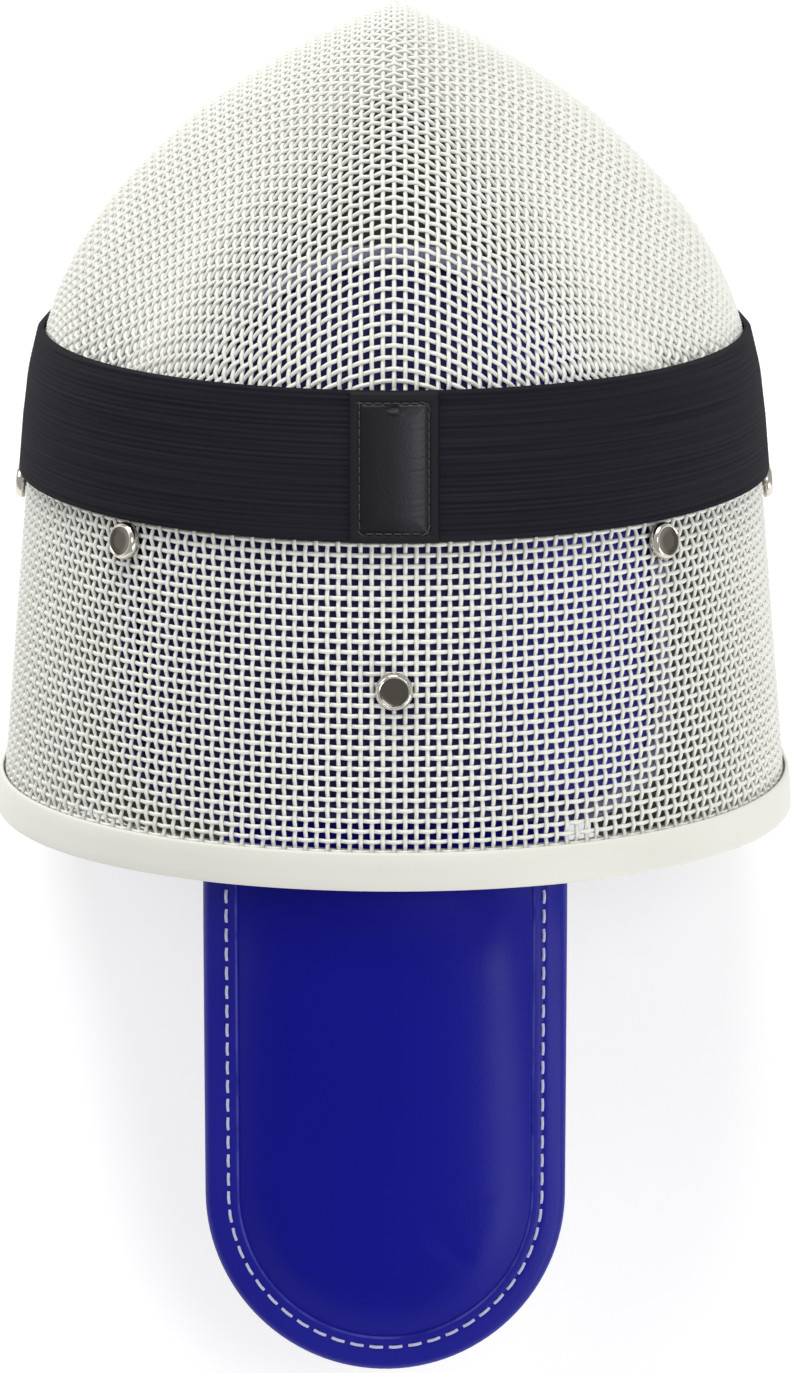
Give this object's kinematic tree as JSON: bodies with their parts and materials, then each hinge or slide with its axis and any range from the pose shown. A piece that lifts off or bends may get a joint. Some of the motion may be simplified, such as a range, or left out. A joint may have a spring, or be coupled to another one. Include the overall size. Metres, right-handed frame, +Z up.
{
  "type": "fencing mask",
  "caption": "Fencing mask with a domed wire mesh hood and central keel, white rim trim, black crown strap with patch, blue lining and a padded rear tongue.",
  "frame": {"origin": "the middle of the mask's footprint, on the surface that its lower rim stands on", "axes": "+Z up, the face and keel towards +Y, the tongue towards -Y, the mask's right and left along X"},
  "size_m": [0.2168, 0.3838, 0.2342],
  "materials": {
    "mesh_white": "woven steel wire with a glossy ivory white coating",
    "trim_white": "soft white plastic channel, satin",
    "elastic_black": "ribbed woven elastic, matte",
    "vinyl_black": "stitched vinyl with a soft sheen",
    "pad_blue": "padded blue lining fabric",
    "binding_pale": "pale woven binding tape",
    "lining_dark": "dark padded lining fabric",
    "tongue_blue": "royal blue padded vinyl with white stitching",
    "nickel": "nickel-plated snap studs"
  },
  "bodies": {
    "root": {"front_mesh": "mesh_white", "rear_mesh": "mesh_white", "rim_trim": "trim_white", "crown_strap": "elastic_black", "strap_patch": "vinyl_black", "crown_pad": "pad_blue", "pad_binding": "binding_pale", "side_lining": "lining_dark", "tongue": "tongue_blue", "stud_centre": "nickel", "stud_right": "nickel", "stud_left": "nickel", "stud_side_right": "nickel", "stud_side_left": "nickel", "rivet_right": "nickel", "rivet_left": "nickel"}
  },
  "joints": []
}
